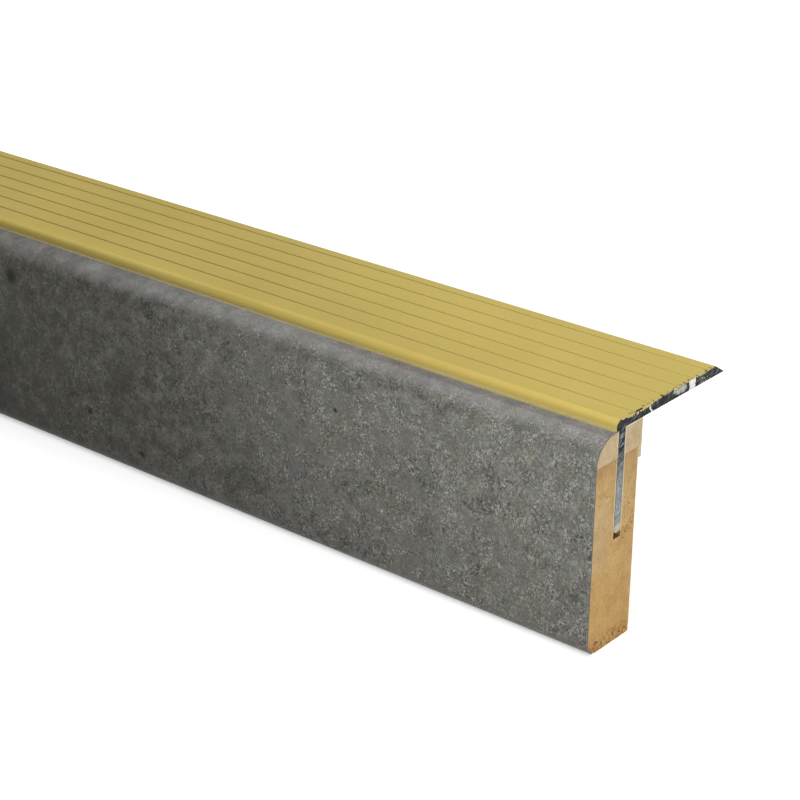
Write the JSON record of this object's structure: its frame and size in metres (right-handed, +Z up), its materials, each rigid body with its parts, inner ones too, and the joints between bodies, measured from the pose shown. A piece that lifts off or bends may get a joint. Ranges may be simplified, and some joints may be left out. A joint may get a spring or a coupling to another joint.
{
  "type": "stair nosing",
  "caption": "Long stair nosing: wood-fibre board with a rounded concrete-look front and a gold-coloured, grooved aluminium tread flange whose stem sits in a slot in the top of the board.",
  "frame": {"origin": "on the floor, at mid-length and half-way between the decor front and the back edge of the tread profile", "axes": "+X along the nosing, +Y from the decor front to the back, +Z up from the board's lower edge to the tread"},
  "size_m": [1.3, 0.0534, 0.0586],
  "materials": {
    "base_board": "matte",
    "cap_strip": "matte",
    "decor_film": "satin",
    "tread_profile": "satin"
  },
  "bodies": {
    "root": {"base_board": "base_board", "nose_strip": "cap_strip", "back_strip": "cap_strip", "decor_film": "decor_film", "tread_profile": "tread_profile"}
  },
  "joints": []
}
